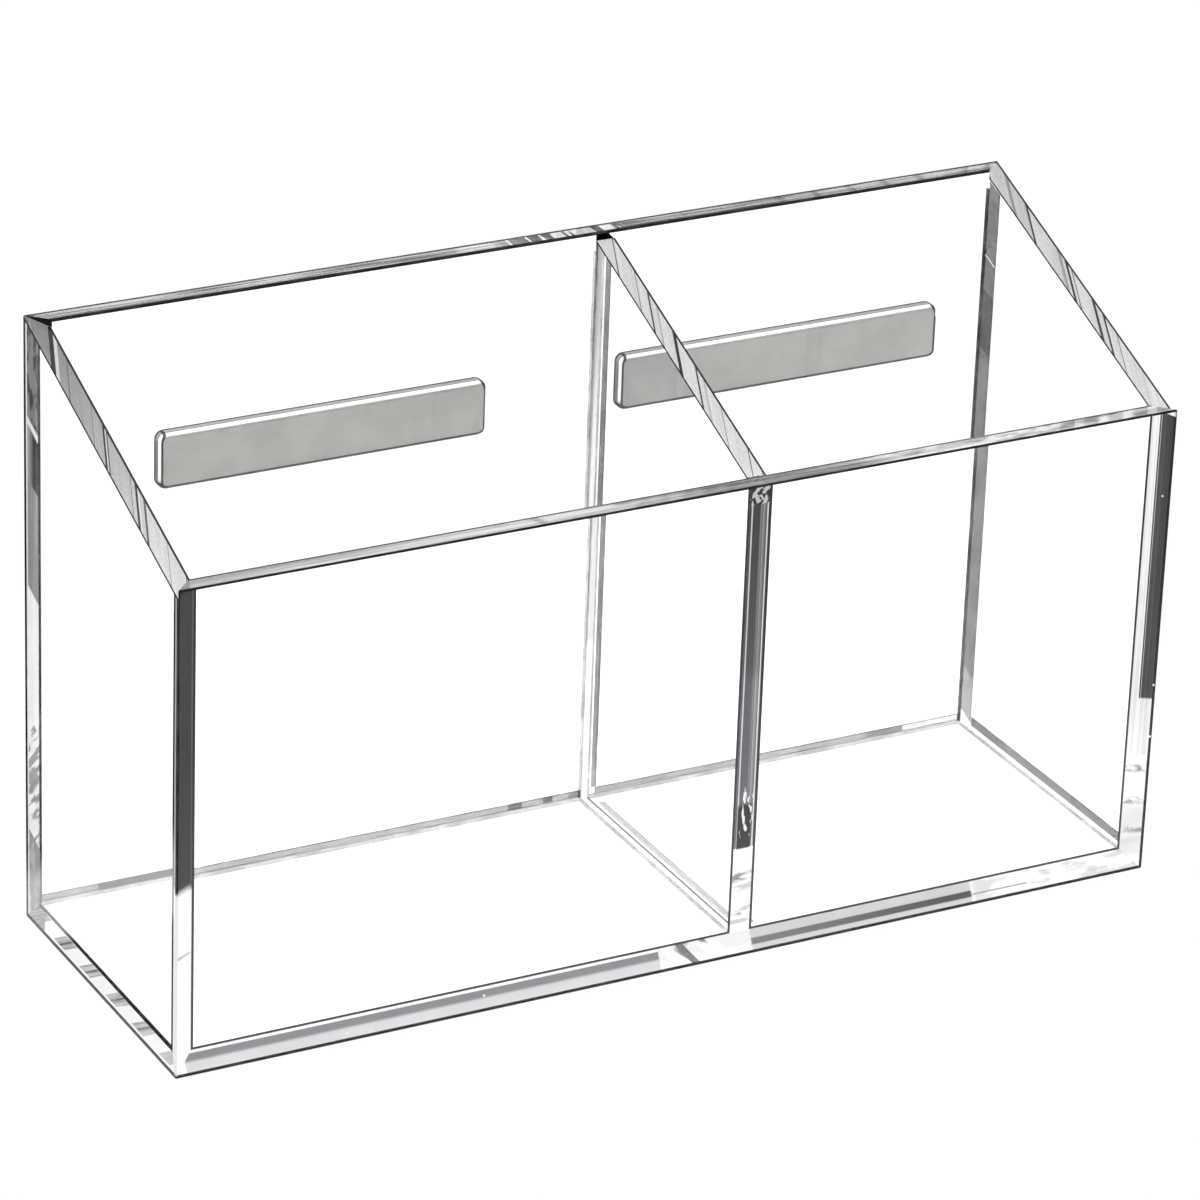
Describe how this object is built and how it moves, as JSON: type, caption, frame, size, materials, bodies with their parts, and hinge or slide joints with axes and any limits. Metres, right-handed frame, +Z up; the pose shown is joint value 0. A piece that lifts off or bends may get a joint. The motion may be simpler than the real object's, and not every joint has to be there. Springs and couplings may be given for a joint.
{
  "type": "magnetic pen holder",
  "caption": "Clear acrylic open-top pen holder with a low front, sloping sides, a divider and bar magnets on the back.",
  "frame": {"origin": "on the ground under the middle of the whole holder, magnets included", "axes": "+X along the width to the right seen from the front, +Y from the low front to the tall magnetic back, +Z up"},
  "size_m": [0.2, 0.072, 0.1195],
  "materials": {
    "clear_acrylic": "clear cast acrylic sheet, polished faces and flame-polished edges",
    "nickel_plate": "satin nickel plating on sintered magnet bar",
    "clear_adhesive": "clear double-sided acrylic foam adhesive"
  },
  "bodies": {
    "root": {"front_panel": "clear_acrylic", "back_panel": "clear_acrylic", "left_side_panel": "clear_acrylic", "right_side_panel": "clear_acrylic", "bottom_panel": "clear_acrylic", "divider_panel": "clear_acrylic", "magnet_left": "nickel_plate", "magnet_right": "nickel_plate", "magnet_adhesive_left": "clear_adhesive", "magnet_adhesive_right": "clear_adhesive"}
  },
  "joints": []
}
